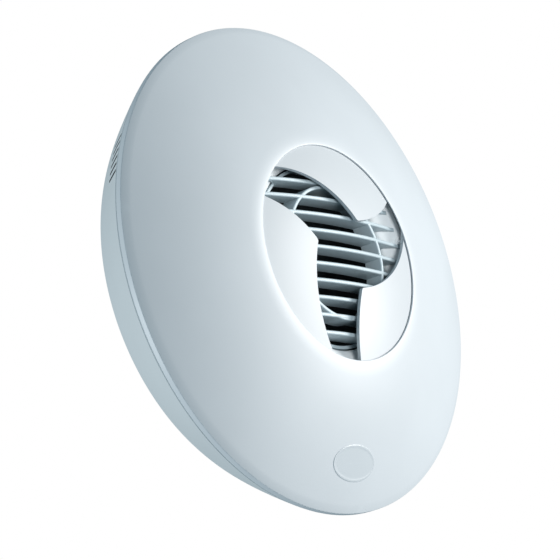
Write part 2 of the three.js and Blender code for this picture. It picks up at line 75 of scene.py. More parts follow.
GRILLE_TOP = 232.4
GRILLE_DEPTH = 10.0
GRILLE_R = 56.6
GRILLE_RING_R = 46.5
LOUVRE_PITCH = 8.55
LOUVRE_START = 1.4
LOUVRE_T = 2.0
RIB_R = 33.7
DUCT_R = 46.9
DUCT_TOP = 51.5
FUNNEL_R = 57.4
FUNNEL_H = 58.5
RING_H = 46.4
FOOT_DIRS = (105.0, 225.0, 345.0)
FOOT_R = 76.0
SEAT_R = 58.0
FLANGE_R = 82.0
WALL_HOLE_DIRS = (45.0, 135.0, 225.0, 315.0)
WALL_HOLE_R = 92.0
CABLE_DIR = 62.0
CABLE_R = 84.0
PIN_R = 1.8
PEG_R = 1.6
ACTUATOR_R = 86.25
ACTUATOR_DIR = -32.0
MOTOR_R = 17.5
BRACKET_BACK = -34.0
BRACKET_FRONT = -18.0
VANES = 5
SHAFT_R = 2.0
BEARING_R = 5.5
HUB_R = 19.0
TIP_R = 45.4
BLADES = 7

VENT_DIRS = (156.3, 23.7)
VENT_COUNT = 6
VENT_STEP = 1.95
VENT_WIDTH = 1.5
VENT_LOW = 20.0
VENT_HIGH = 30.5

BADGE_R = 102.8
BADGE_DIR = -87.3
BADGE_HALF = (15.8, 8.4)

FINE = 256


# ---- points and outlines ----
def dome_h(sphere, r):
    """Height above the wall of a dome-centred sphere at a radius from the axis."""
    return CENTRE_H + math.sqrt(sphere**2 - r**2)


def place(r, degrees, h):
    """A point in metres from its radius, its direction seen from the front, and its height above the wall."""
    a = math.radians(degrees)
    return Vector((r * math.cos(a), -h, r * math.sin(a))) * MM


def on_sphere(sphere, x, z):
    """A point in metres on a dome-centred sphere, from its place seen from the front."""
    return Vector((x, -dome_h(sphere, math.hypot(x, z)), z)) * MM


def dome_line(sphere, start, end, steps):
    radii = [start + (end - start) * i / steps for i in range(steps + 1)]
    return [(r, dome_h(sphere, r)) for r in radii]


def bezier(a, b, c, steps):
    line = []
    for i in range(steps + 1):
        t = i / steps
        line.append(tuple((1 - t) ** 2 * p + 2 * t * (1 - t) * q + t * t * s for p, q, s in zip(a, b, c)))
    return line


def rounded(corners, closed=True, steps=5):
    """An outline whose corners (x, y, radius) are rounded off by arcs."""
    line = []
    count = len(corners)
    for i, (x, y, radius) in enumerate(corners):
        here = Vector((x, y))
        if radius <= 0 or (not closed and i in (0, count - 1)):
            line.append((x, y))
            continue
        before = Vector(corners[i - 1][:2]) - here
        after = Vector(corners[(i + 1) % count][:2]) - here
        half = before.angle(after) / 2
        reach = min(radius / math.tan(half), before.length * 0.49, after.length * 0.49)
        start = here + before.normalized() * reach
        end = here + after.normalized() * reach
        for k in range(steps + 1):
            t = k / steps
            point = (1 - t) ** 2 * start + 2 * t * (1 - t) * here + t * t * end
            line.append((point.x, point.y))
    return line


# ---- mesh making ----
def new_piece(name, points, faces, sharp=35.0):
    mesh = bpy.data.meshes.new(name)
    mesh.from_pydata([tuple(p) for p in points], [], faces)
    mesh.validate()
    mesh.update()
    piece = bpy.data.objects.new(name, mesh)
    bpy.context.scene.collection.objects.link(piece)
    tidy_faces(piece)
    smooth(piece, sharp)
    return piece


def smooth(piece, sharp=35.0):
    """Smooth shading, with a hard edge where faces meet at more than an angle."""
    piece.data.shade_smooth()
    piece.data.set_sharp_from_angle(angle=math.radians(sharp))


def tidy_faces(piece):
    work = bmesh.new()
    work.from_mesh(piece.data)
    bmesh.ops.remove_doubles(work, verts=work.verts, dist=1e-7)
    bmesh.ops.recalc_face_normals(work, faces=work.faces)
    work.to_mesh(piece.data)
    work.free()
    piece.data.update()


def turned(name, outline, directions=FINE, closed=True, openings=(), sharp=35.0):
    """A shape of revolution about the fan's axis. openings lists (columns, rows) of faces to leave out,
    where rows counts the outline's segments, and their edges are walled across to the matching rows."""
    if isinstance(directions, int):
        directions = [360.0 * i / directions for i in range(directions)]
    points = [place(r, a, h) for a in directions for r, h in outline]
    rows = len(outline)
    wide = len(directions)
    last = rows if closed else rows - 1
    left_out = {(c, r) for c, r in openings}
    faces = []
    for c in range(wide):
        for r in range(last):
            if (c, r) in left_out:
                continue
            n = (r + 1) % rows
            d = (c + 1) % wide
            faces.append((c * rows + r, c * rows + n, d * rows + n, d * rows + r))
    return new_piece(name, points, faces, sharp)


def grid_shell(name, top, bottom, sharp=35.0):
    """A closed plate between two matching grids of points."""
    rows = len(top)
    cols = len(top[0])
    points = [p for row in top for p in row] + [p for row in bottom for p in row]
    lower = rows * cols
    faces = []
    for r in range(rows - 1):
        for c in range(cols - 1):
            a = r * cols + c
            quad = (a, a + 1, a + cols + 1, a + cols)
            faces.append(quad)
            faces.append(tuple(lower + i for i in reversed(quad)))
    ring = [c for c in range(cols)]
    ring += [r * cols + cols - 1 for r in range(1, rows)]
    ring += [(rows - 1) * cols + c for c in range(cols - 2, -1, -1)]
    ring += [r * cols for r in range(rows - 2, 0, -1)]
    for i, a in enumerate(ring):
        b = ring[(i + 1) % len(ring)]
        faces.append((a, lower + a, lower + b, b))
    return new_piece(name, points, faces, sharp)


def swept(name, loops, sharp=35.0):
    """A closed piece through matching loops of points, capped at both ends."""
    count = len(loops[0])
    last = len(loops) - 1
    faces = []
    for i in range(last):
        for k in range(count):
            n = (k + 1) % count
            faces.append((i * count + k, i * count + n, (i + 1) * count + n, (i + 1) * count + k))
    faces.append(tuple(range(count)))
    faces.append(tuple(reversed(range(last * count, (last + 1) * count))))
    return new_piece(name, [point for loop in loops for point in loop], faces, sharp)


def turn_about_axis(degrees):
    """The rotation that carries a shape round the fan's axis, anticlockwise from the front."""
    return Matrix.Rotation(-math.radians(degrees), 4, "Y")


def move_to(piece, r, direction):
    """Moves a turned piece from the fan's axis to a place beside it."""
    spot = place(r, direction, 0)
    piece.data.transform(Matrix.Translation(Vector((spot.x, 0, spot.z))))
    return piece


def bevel(piece, width, segments=3, angle=40.0):
    """Rounds the sharp edges of a piece."""
    step = piece.modifiers.new("edge", "BEVEL")
    step.width = width * MM
    step.segments = segments
    step.limit_method = "ANGLE"
    step.angle_limit = math.radians(angle)
    step.harden_normals = True
    apply_modifiers(piece)
    return piece


def apply_modifiers(piece):
    bpy.context.view_layer.update()
    graph = bpy.context.evaluated_depsgraph_get()
    mesh = bpy.data.meshes.new_from_object(piece.evaluated_get(graph))
    old = piece.data
    piece.modifiers.clear()
    piece.data = mesh
    mesh.name = piece.name
    bpy.data.meshes.remove(old)


def joined(name, pieces):
    """One piece made of several."""
    with bpy.context.temp_override(active_object=pieces[0], selected_editable_objects=pieces,
                                   selected_objects=pieces, object=pieces[0]):
        bpy.ops.object.join()
    pieces[0].name = name
    pieces[0].data.name = name
    return pieces[0]


# ---- materials ----
def new_material(name):
    """A material with nodes, as its node list, its links and its shader."""
    material = bpy.data.materials.new(name)
    material.use_nodes = True
    tree = material.node_tree
    return material, tree.nodes, tree.links, tree.nodes["Principled BSDF"]


def noise(nodes, links, vector, scale, detail):
    texture = nodes.new("ShaderNodeTexNoise")
    texture.inputs["Scale"].default_value = scale
    texture.inputs["Detail"].default_value = detail
    links.new(vector, texture.inputs["Vector"])
    return texture.outputs["Fac"]


def ramp(nodes, links, factor, stops):
    """A colour ramp through (position, colour) stops."""
    node = nodes.new("ShaderNodeValToRGB")
    for element, (position, colour) in zip(node.color_ramp.elements, stops):
        element.position = position
        element.color = [*colour, 1]
    links.new(factor, node.inputs["Fac"])
    return node.outputs["Color"]


def vary_gloss(nodes, links, shader, factor, low, high):
    gloss = nodes.new("ShaderNodeMapRange")
    gloss.inputs["To Min"].default_value = low
    gloss.inputs["To Max"].default_value = high
    links.new(factor, gloss.inputs["Value"])
    links.new(gloss.outputs["Result"], shader.inputs["Roughness"])


def scaled(colour, factor):
    return [min(1, c * factor) for c in colour]


def plastic(name, colour, roughness, grain=900.0, depth=0.03, tint=0.02, coat=0.0):
    """Moulded plastic: a fine tool texture, slow tone and gloss changes, and edges painted a little lighter,
    partly as wear and partly as a painted edge highlight.
    """
    material, nodes, links, shader = new_material(name)
    shader.inputs["Coat Weight"].default_value = coat
    shader.inputs["Coat Roughness"].default_value = 0.25
    where = nodes.new("ShaderNodeTexCoord").outputs["Object"]
    slow = noise(nodes, links, where, 14.0, 4.0)
    tone = ramp(nodes, links, slow, ((0.35, scaled(colour, 1 - tint)), (0.65, scaled(colour, 1 + tint))))
    # Convex edges, found by pointiness, are painted lighter: partly light wear, partly a painted edge
    # highlight.
    edge = nodes.new("ShaderNodeNewGeometry").outputs["Pointiness"]
    wear_and_highlight = ramp(nodes, links, edge, ((0.52, (0, 0, 0)), (0.62, (0.35, 0.35, 0.35))))
    lighter = nodes.new("ShaderNodeMix")
    lighter.data_type = "RGBA"
    lighter.inputs[7].default_value = [*scaled(colour, 1.08), 1]
    links.new(wear_and_highlight, lighter.inputs[0])
    links.new(tone, lighter.inputs[6])
    links.new(lighter.outputs[2], shader.inputs["Base Color"])
    vary_gloss(nodes, links, shader, slow, roughness - 0.05, roughness + 0.05)
    bump = nodes.new("ShaderNodeBump")
    bump.inputs["Strength"].default_value = depth
    bump.inputs["Distance"].default_value = 0.0003
    links.new(noise(nodes, links, where, grain, 3.0), bump.inputs["Height"])
    links.new(bump.outputs["Normal"], shader.inputs["Normal"])
    return material


def metal(name, colour, roughness, stretch=(1.0, 40.0, 1.0)):
    """Turned or rolled metal with a fine directional grain."""
    material, nodes, links, shader = new_material(name)
    shader.inputs["Metallic"].default_value = 1.0
    along = nodes.new("ShaderNodeMapping")
    along.inputs["Scale"].default_value = stretch
    links.new(nodes.new("ShaderNodeTexCoord").outputs["Object"], along.inputs["Vector"])
    grain = noise(nodes, links, along.outputs["Vector"], 120.0, 5.0)
    tone = ramp(nodes, links, grain, ((0.0, scaled(colour, 0.85)), (1.0, colour)))
    links.new(tone, shader.inputs["Base Color"])
    vary_gloss(nodes, links, shader, grain, roughness - 0.08, roughness + 0.1)
    return material


WHITE = (0.80, 0.835, 0.865)
FINISHES = {
    "cover_white": plastic("cover_white", WHITE, 0.42, coat=0.15),
    "badge_white": plastic("badge_white", (0.78, 0.82, 0.85), 0.25, coat=0.5),
    "base_white": plastic("base_white", (0.78, 0.81, 0.82), 0.5, depth=0.06),
    # The duct's near-black colour is partly a guess at dark plastic and partly painted shade for the deep
    # inside of the duct.
    "duct_dark": plastic("duct_dark", (0.025, 0.027, 0.03), 0.45, depth=0.08, tint=0.12),
    # The grille's colour is darkened to a teal grey: painted shade standing for the shade under its blades,
    # on a moulding that is white.
    "grille_white": plastic("grille_white", (0.47, 0.55, 0.585), 0.38),
    "carrier_white": plastic("carrier_white", (0.86, 0.88, 0.89), 0.5, depth=0.06),
    "leaf_white": plastic("leaf_white", (0.75, 0.78, 0.805), 0.4, coat=0.15),
    "ring_acetal": plastic("ring_acetal", (0.80, 0.79, 0.73), 0.36, coat=0.1),
    "seal_rubber": plastic("seal_rubber", (0.028, 0.028, 0.03), 0.7, depth=0.12, tint=0.15),
    "impeller_dark": plastic("impeller_dark", (0.022, 0.024, 0.027), 0.42, tint=0.12),
    "board_green": plastic("board_green", (0.018, 0.11, 0.05), 0.34, tint=0.1, coat=0.4),
    "component_dark": plastic("component_dark", (0.03, 0.03, 0.034), 0.45, tint=0.15),
    "terminal_white": plastic("terminal_white", (0.78, 0.77, 0.70), 0.45),
    "motor_steel": metal("motor_steel", (0.62, 0.63, 0.64), 0.34),
    "winding_copper": metal("winding_copper", (0.62, 0.27, 0.11), 0.35, (1.0, 200.0, 1.0)),
    "rotor_dark": metal("rotor_dark", (0.16, 0.16, 0.17), 0.45),
    "shaft_steel": metal("shaft_steel", (0.72, 0.72, 0.73), 0.2),
    "screw_steel": metal("screw_steel", (0.66, 0.67, 0.68), 0.28),
}
SLOT_OF = {row["node"]: row["material_slot"] for row in frame["record"]["subparts"]}
BODIES = frame["record"]["behaviour"]["bodies"]
BODY_OF = {node: body for body, members in BODIES.items() for node in members}
REPLACED = set()


def finish_node(node):
    """Gives a CAD node that stays in view its finish."""
    mesh = frame["nodes"][node].data
    mesh.materials.clear()
    mesh.materials.append(FINISHES[SLOT_OF[node]])


def stands_for(piece, node):
    """A finer piece that takes a CAD node's place, on the same body and with the same finish."""
    piece.data.materials.clear()
    piece.data.materials.append(FINISHES[SLOT_OF[node]])
    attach(piece, BODY_OF[node])
    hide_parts(node)
    REPLACED.add(node)
    return piece


# ---- cover and badge ----
def make_cover():
    """The domed shell, turned from one outline: dome, lip, thin wall over the leaves, rim and crease."""
    inner = DOME_R - COVER_T
    thin = DOME_R - THIN_T
    crown = MOUTH_R + 3.4
    edge_h = dome_h(DOME_R, MOUTH_R) - 0.6
    dome_end = RIM_R - 3.0
    crease = rounded([
        (dome_end, dome_h(DOME_R, dome_end), 0),
        (RIM_R, RIM_H - 0.45, 0.7),
        (SEAM_R + 0.3, SEAM_H + CLEAR + 0.25, 0.4),
        (SEAM_R - 0.6, SEAM_H + CLEAR, 0),
    ], closed=False, steps=8)
    lip_top = (LIP_R, dome_h(DOME_R, LIP_R))
    lip_crown = (crown, dome_h(DOME_R, crown) + 0.1)
    lip = bezier(lip_top, lip_crown, (MOUTH_R + 0.25, edge_h), 16)
    outline = dome_line(DOME_R, dome_end, LIP_R, 48)[1:]
    outline += lip[1:]
    outline += [(MOUTH_R + 0.06, edge_h - 0.1), (MOUTH_R, edge_h - 0.26), (MOUTH_R, dome_h(thin, MOUTH_R))]
    outline += dome_line(thin, MOUTH_R + 0.4, LEAF_ROOM_R, 20)
    outline += dome_line(inner, LEAF_ROOM_R + 1.5, RIM_R - COVER_T - 2.6, 16)
    outline += [(RIM_R - COVER_T - 1, RIM_H - COVER_T - 0.6), (SEAM_R - 1.7, SEAM_H + CLEAR)]
    outline += list(reversed(crease))
    return turned("front_cover_shell", outline)


def on_badge(inset, share, degrees, rise):
    """A point of the badge: on its edge drawn in by an inset, or a share of the way to it, above the dome."""
    half_x, half_z = BADGE_HALF
    centre = place(BADGE_R, BADGE_DIR, 0) / MM
    a = math.radians(degrees)
    x = centre.x + (half_x - inset) * share * math.cos(a)
    z = centre.z + (half_z - inset) * share * math.sin(a)
    return on_sphere(DOME_R + rise, x, z)


def make_badge():
    """A thin oval plate on the dome with a raised rim round a shallow dish."""
    steps = 96
    dish_inset = 2.2
    dish_rise = 0.08
    dish_rings = 6
    rim = [(0.0, -0.5), (0.0, 0.0), (0.12, 0.14), (0.35, 0.2), (0.9, 0.2), (1.2, 0.14), (1.45, 0.09)]
    rings = [(inset, 1.0, rise) for inset, rise in rim + [(dish_inset, dish_rise)]]
    rings += [(dish_inset, max(1 - k / dish_rings, 0.01), dish_rise) for k in range(1, dish_rings + 1)]
    points = []
    faces = []
    for ring, (inset, share, rise) in enumerate(rings):
        points += [on_badge(inset, share, 360.0 * i / steps, rise) for i in range(steps)]
        if ring:
            a = (ring - 1) * steps
            b = ring * steps
            faces += [(a + i, a + (i + 1) % steps, b + (i + 1) % steps, b + i) for i in range(steps)]
    last = (len(rings) - 1) * steps
    faces.append(tuple(last + i for i in range(steps)))
    faces.append(tuple(reversed(range(steps))))
    return new_piece("badge_plate", points, faces, 50.0)


# ---- base housing with its cooling slots ----
def base_outline():
    """The base's section: back plate, tapered wall, and the rim that the cover closes over."""
    wall = 2.2
    lip = 1.4
    rim_r = SEAM_R - 4.1
    rim_top = SEAM_H + 2.4
    outer = bezier((BACK_R, 0.0), (109.6, 7.2), (SEAM_R - 0.5, SEAM_H - 0.7), 40)
    inner = bezier((BACK_R - wall, PLATE_T), (106.9, 8.5), (SEAM_R - 0.3 - wall, SEAM_H), 40)
    outer = split_at(outer, (VENT_LOW, VENT_HIGH))
    inner = split_at(inner, (VENT_LOW, VENT_HIGH))
    inner = list(reversed([point for point in inner if point[1] <= VENT_HIGH]))
    rim = [(SEAM_R - 1.3, SEAM_H), (rim_r, SEAM_H), (rim_r, rim_top)]
    rim += [(rim_r - lip, rim_top), (rim_r - lip, VENT_HIGH + 0.2)]
    plate = [SPIGOT_R + 0.5 + 3.0 * i for i in range(17)]
    outline = [(r, 0.0) for r in plate] + [(BACK_R - 0.8, 0.0)] + outer[1:] + rim + inner
    return outline + [(BACK_R - wall - 1.0, PLATE_T)] + [(r, PLATE_T) for r in reversed(plate)]


def make_base():
    """The base, turned with a column of faces left out for each cooling slot, and then drilled."""
    outline = base_outline()
    half = math.degrees(VENT_WIDTH / 2 / 119.0)
    slots = [m + (i - (VENT_COUNT - 1) / 2) * VENT_STEP for m in VENT_DIRS for i in range(VENT_COUNT)]
    edges = sorted((s + side * half) % 360 for s in slots for side in (-1, 1))
    even = [360.0 * i / FINE for i in range(FINE)]
    directions = sorted([a for a in even if all(abs(a - edge) > 0.35 for edge in edges)] + edges)
    slack = 1e-6
    columns = [c for c, a in enumerate(directions)
               if any(s - half - slack <= a < s + half - slack for s in slots)]
    following = outline[1:] + outline[:1]
    rows = [i for i, ((r0, h0), (r1, h1)) in enumerate(zip(outline, following))
            if VENT_LOW < (h0 + h1) / 2 < VENT_HIGH and (r0 + r1) / 2 > BACK_R]
    openings = [(c, row) for c in columns for row in rows]
    piece = turned("base_housing_shell", outline, directions, openings=openings)
    wall_slots(piece)
    holes = [(WALL_HOLE_R, a, 2.4) for a in WALL_HOLE_DIRS]
    holes += [(CABLE_R, CABLE_DIR, 8.0)]
    holes += [(FOOT_R, a, 1.8) for a in FOOT_DIRS]
    drill(piece, holes)
    return piece


def drill(piece, holes, low=-2.0, high=4.4):
    """Cuts round holes of (radius from the axis, direction, hole radius) between two heights."""
    rods = []
    for i, (r, direction, size) in enumerate(holes):
        line = [(0.0, low), (size, low), (size, high), (0.0, high)]
        rods.append(move_to(turned(f"drill_{i}", line, 48), r, direction))
    tool = joined("drills", rods)
    cut = piece.modifiers.new("holes", "BOOLEAN")
    cut.operation = "DIFFERENCE"
    cut.solver = "EXACT"
    cut.object = tool
    apply_modifiers(piece)
    bpy.data.objects.remove(tool)
    smooth(piece)


def split_at(line, heights):
    """Adds a point to a rising outline at each height."""
    result = [line[0]]
    for (r0, h0), (r1, h1) in zip(line, line[1:]):
        for h in heights:
            if h0 < h < h1:
                t = (h - h0) / (h1 - h0)
                result.append((r0 + (r1 - r0) * t, h))
        result.append((r1, h1))
    return result


def edge_loops(edges):
    """Sorts edges into the connected loops that they form."""
    left = set(edges)
    loops = []
    while left:
        loop = [left.pop()]
        for edge in loop:
            joining = [other for vertex in edge.verts for other in vertex.link_edges if other in left]
            for other in joining:
                if other in left:
                    left.discard(other)
                    loop.append(other)
        loops.append(loop)
    return loops


def wall_slots(piece):
    """Closes the walls of the slots between the outer and the inner skin."""
    work = bmesh.new()
    work.from_mesh(piece.data)
    loops = edge_loops([edge for edge in work.edges if edge.is_boundary])
    middles = [sum((v.co for edge in loop for v in edge.verts), Vector()) / (2 * len(loop)) for loop in loops]
    waiting = list(range(len(loops)))
    while waiting:
        i = waiting.pop(0)
        j = min(waiting, key=lambda k: (middles[k] - middles[i]).length)
        waiting.remove(j)
        bmesh.ops.bridge_loops(work, edges=loops[i] + loops[j])
    bmesh.ops.recalc_face_normals(work, faces=work.faces)
    work.to_mesh(piece.data)
    work.free()
    smooth(piece)


def shade_slots(piece):
    """Dark walls in the cooling slots, which are too narrow for the light to reach."""
    piece.data.materials.append(plastic("slot_shade", (0.05, 0.055, 0.06), 0.7, depth=0.06))
    for face in piece.data.polygons:
        spot = face.center / MM
        outward = Vector((spot.x, 0, spot.z)).normalized()
        in_wall = VENT_LOW - 0.05 < -spot.y < VENT_HIGH + 0.05 and math.hypot(spot.x, spot.z) > 110
        if in_wall and abs(face.normal.dot(outward)) < 0.5:
            face.material_index = 1
    return piece


# ---- iris leaves ----
def leaf_pivot(turn):
    """A leaf's pivot point on the leaf sphere, and the direction of its axis."""
    pivot = place(PIVOT_R, PIVOT_DIR + turn, dome_h(LEAF_TOP, PIVOT_R))
    centre = Vector((0, -CENTRE_H * MM, 0))
    return pivot, (pivot - centre).normalized()


def seam_direction(r, gap):
    """Direction at which a leaf's long edge runs at a radius, set off from the seam by a gap."""
    arc = SEAM_ARC_R + gap
    cosine = (r * r + SEAM_ARC_R**2 - arc**2) / (2 * r * SEAM_ARC_R)
    return math.acos(max(-1.0, min(1.0, cosine)))


def make_leaf(index):
    """A domed leaf on a grid of radius and direction, closed, then swung open about its pivot."""
    turn = 120.0 * index
    rows = 56
    cols = 48
    start_r = 0.7
    edge_round = 0.44
    radii = [start_r + (LEAF_EDGE_R - start_r) * i / rows for i in range(rows + 1)]
    top = []
    bottom = []
    for r in radii:
        long_edge = SEAM_ARC_DIR - math.degrees(seam_direction(r, LEAF_GAP))
        short_edge = SEAM_ARC_DIR - 120 - math.degrees(seam_direction(r, -LEAF_GAP))
        line = [short_edge + (long_edge - short_edge) * (i / cols) for i in range(cols + 1)]
        top.append([place(r, a + turn, dome_h(LEAF_TOP, r)) for a in line])
        bottom.append([place(r, a + turn, dome_h(LEAF_TOP - LEAF_T, r)) for a in line])
    piece = grid_shell(f"leaf_{index + 1}_blade", top, bottom, 60.0)
    bevel(piece, edge_round, 3)
    pivot, axis = leaf_pivot(turn)
    arm = make_arm(index, turn)
    piece = joined(f"iris_leaf_{index + 1}_blade", [piece, arm])
    swing = Matrix.Translation(pivot) @ Matrix.Rotation(math.radians(LEAF_SWING), 4, axis)
    piece.data.transform(swing @ Matrix.Translation(-pivot))
    return piece


def make_arm(index, turn):
    """The lever under the cover that carries the leaf's drive peg."""
    steps = 40
    peg_dir = PIVOT_DIR - LEAF_SWING / 2
    pivot = place(PIVOT_R, PIVOT_DIR, 0) / MM
    peg = pivot + place(LEVER, peg_dir, 0) / MM
    root = place(PIVOT_R, PIVOT_DIR - 3, 0) / MM
    root_r = 3.2
    end_r = 3.6
    outline = []
    for centre, radius, first in ((root, root_r, peg_dir + 90), (peg, end_r, peg_dir - 90)):
        for i in range(steps // 2 + 1):
            a = math.radians(first + 180.0 * i / (steps // 2))
            outline.append((centre.x + radius * math.cos(a), centre.z + radius * math.sin(a)))
    spin = turn_about_axis(turn)
    skin = 0.06
    top = [spin @ on_sphere(LEAF_TOP - skin, x, z) for x, z in outline]
    low = [spin @ on_sphere(LEAF_TOP - LEAF_T + skin, x, z) for x, z in outline]
    arm = swept(f"leaf_{index + 1}_arm", [top, low])
    return joined(f"leaf_{index + 1}_lever", [bevel(arm, 0.4, 2), drive_peg(index, turn, peg)])


# ---- louvre grille ----
def funnel_line(steps=20):
    """The shallow funnel in the carrier, from its throat out to its flat front."""
    throat = DUCT_R + 0.4
    return bezier((throat, FUNNEL_H - 4.8), (throat, FUNNEL_H - 1.7), (FUNNEL_R, FUNNEL_H), steps)


def over_funnel(r):
    """Height just clear of the funnel, for the blades that reach out over it."""
    line = funnel_line()
    for (r0, h0), (r1, h1) in zip(line, line[1:]):
        if r1 >= r:
            return h0 + (h1 - h0) * max(0.0, r - r0) / max(r1 - r0, 1e-6) + CLEAR + 0.1
    return FUNNEL_H + CLEAR


def make_grille():
    """The louvres, the round rib across them and the ring that holds them in the funnel's throat."""
    rows = int(GRILLE_RING_R // LOUVRE_PITCH)
    parts = [make_louvre(i + rows, LOUVRE_START + i * LOUVRE_PITCH) for i in range(-rows, rows + 1)]
    rib_front = dome_h(GRILLE_TOP, RIB_R) - 0.1
    rib_back = dome_h(GRILLE_TOP - GRILLE_DEPTH, RIB_R)
    rib_in = RIB_R - 0.9
    rib_out = RIB_R + 0.9
    rib = rounded([
        (rib_in, rib_back, 0.2), (rib_out, rib_back, 0.2),
        (rib_out, rib_front, 0.7), (rib_in, rib_front, 0.7),
    ])
    parts.append(turned("grille_rib", rib, 192))
    ring_front = FUNNEL_H - 4.2
    ring_back = dome_h(GRILLE_TOP - GRILLE_DEPTH, GRILLE_RING_R)
    ring_in = GRILLE_RING_R - 1.8
    ring = rounded([
        (ring_in, ring_back, 0.2), (GRILLE_RING_R, ring_back, 0.2),
        (GRILLE_RING_R, ring_front, 0.3), (ring_in, ring_front, 0.9),
    ])
    parts.append(turned("grille_ring", ring, 192))
    return joined("louvre_grille_moulding", parts)


def make_louvre(index, z):
    """One blade: a web with a round front edge that follows the grille's dome and ends over the funnel."""
    reach = math.sqrt((GRILLE_R - 0.3) ** 2 - z * z)
    steps = 64
    half = LOUVRE_T / 2
    nose = 0.8
    foot = half * 0.8
    sections = []
    for i in range(steps + 1):
        x = -reach + 2 * reach * i / steps
        r = math.hypot(x, z)
        front = dome_h(GRILLE_TOP, r)
        back = dome_h(GRILLE_TOP - GRILLE_DEPTH, r)
        if r > GRILLE_RING_R:
            back = max(back, min(front - 0.1, over_funnel(r)))
        bend = min(nose, (front - back) / 2)
        section = rounded([
            (-foot, back, 0.1), (foot, back, 0.1), (half, front, bend), (-half, front, bend),
        ])
        sections.append([Vector((x, -h, z + dz)) * MM for dz, h in section])
    return swept(f"louvre_{index + 1}", sections, 50.0)


# ---- air duct and carrier ----
def make_duct():
    """The straight duct with a foot flange that sits on the spigot's."""
    low = PLATE_T + 2 + 2 * CLEAR
    outline = rounded([
        (DUCT_R, low, 0.2), (DUCT_R, DUCT_TOP, 0.5), (DUCT_R + 2, DUCT_TOP, 0.5),
        (DUCT_R + 2, low + 2, 0.8), (SEAT_R, low + 2, 0.4), (SEAT_R, low, 0.2),
    ])
    return turned("air_duct_shell", outline)


def make_carrier():
    """The iris carrier: flange, collar, funnel, pivot posts and three legs."""
    low = RING_H - 3.4
    top = RING_H - CLEAR
    collar = PIVOT_R + 2.6
    throat = DUCT_R + 0.4
    foot = DUCT_TOP + CLEAR
    outline = rounded([
        (PIVOT_R, low, 0.3), (FLANGE_R, low, 0.4), (FLANGE_R, top, 0.4),
        (collar, top, 0.5), (collar, FUNNEL_H, 0.5),
    ], closed=False)
    outline += list(reversed(funnel_line()))
    outline += [(throat, foot), (throat + 1.8, foot), (throat + 1.8, FUNNEL_H - 4.6)]
    outline += [(throat + 3.2, FUNNEL_H - 2.8), (PIVOT_R, FUNNEL_H - 1.8)]
    parts = [turned("carrier_body", outline)]
    leg_low = PLATE_T + CLEAR
    leg_top = top - 0.5
    bore = 1.7
    leg = rounded([(bore, leg_low, 0), (4.5, leg_low, 0.4), (4.5, leg_top, 0), (bore, leg_top, 0)])
    for i, direction in enumerate(FOOT_DIRS):
        parts.append(move_to(turned(f"carrier_leg_{i + 1}", leg, 40), FOOT_R, direction))
    frame_piece = joined("iris_carrier_frame", parts)
    drill(frame_piece, [(ACTUATOR_R, ACTUATOR_DIR, 9.0)], low - 1, top + 1)
    posts = [pivot_post(i) for i in range(3)]
    return joined("iris_carrier_frame", [frame_piece] + posts)


def along_pivot(piece, turn, foot):
    """Stands a turned piece on a point, along the pivot's own direction."""
    axis = leaf_pivot(turn)[1]
    tilt = Vector((0, -1, 0)).rotation_difference(axis).to_matrix().to_4x4()
    piece.data.transform(Matrix.Translation(foot) @ tilt)
    return piece


def pivot_post(index):
    """The hollow post that a leaf's pivot pin stands in."""
    bore = PIN_R + CLEAR
    foot = LEAF_TOP - 13
    floor = LEAF_TOP - 10
    top = LEAF_TOP - 4.9
    outline = rounded([
        (0.0, foot, 0), (3.4, foot, 0), (3.4, top, 0.4), (bore, top, 0.3), (bore, floor, 0), (0.0, floor, 0),
    ])
    post = turned(f"pivot_post_{index + 1}", outline, 40)
    return along_pivot(post, 120.0 * index, Vector((0, -CENTRE_H * MM, 0)))


def drive_peg(index, turn, peg):
    """The peg under a leaf's arm that runs in the drive ring's slot."""
    foot = -12.0
    top = -0.9
    outline = rounded([(0.0, foot, 0), (PEG_R, foot, 0.4), (PEG_R, top, 0), (0.0, top, 0)])
    spin = turn_about_axis(turn)
    piece = turned(f"leaf_{index + 1}_peg", outline, 32)
    return along_pivot(piece, turn, spin @ on_sphere(LEAF_TOP, peg.x, peg.z))


# ---- motor and impeller ----
def make_motor_can():
    """The motor's closed can, with a hole for the bearing at each end."""
    front = -4.0
    inner = MOTOR_R - 1.8
    inner_front = -8.5
    inner_back = -29.5
    hole = BEARING_R + CLEAR
    outline = rounded([
        (hole, BRACKET_BACK, 0.3), (MOTOR_R, BRACKET_BACK, 1.6), (MOTOR_R, front, 1.6), (hole, front, 0.3),
        (hole, inner_front, 0), (inner, inner_front, 0.5), (inner, inner_back, 0.5), (hole, inner_back, 0),
    ])
    return turned("motor_can", outline, 128)


def make_bracket():
    """The cup round the motor, the ring in the duct and the vanes between them."""
    cup_in = MOTOR_R + CLEAR
    cup_out = MOTOR_R + 2
    cup_back = BRACKET_BACK - 0.5
    cup_front = BRACKET_FRONT + 2
    cup = rounded([
        (cup_in, cup_back, 0.2), (cup_out, cup_back, 0.8),
        (cup_out, cup_front, 0.8), (cup_in, cup_front, 0.2),
    ])
    ring_in = DUCT_R - 2.3
    ring_out = DUCT_R - CLEAR
    ring = rounded([
        (ring_in, BRACKET_BACK, 0.6), (ring_out, BRACKET_BACK, 0.4),
        (ring_out, BRACKET_FRONT, 0.4), (ring_in, BRACKET_FRONT, 0.6),
    ])
    parts = [turned("bracket_cup", cup, 128), turned("bracket_ring", ring, 192)]
    parts += [make_vane(i, 36.0 + 360.0 * i / VANES) for i in range(VANES)]
    return joined("motor_bracket_moulding", parts)


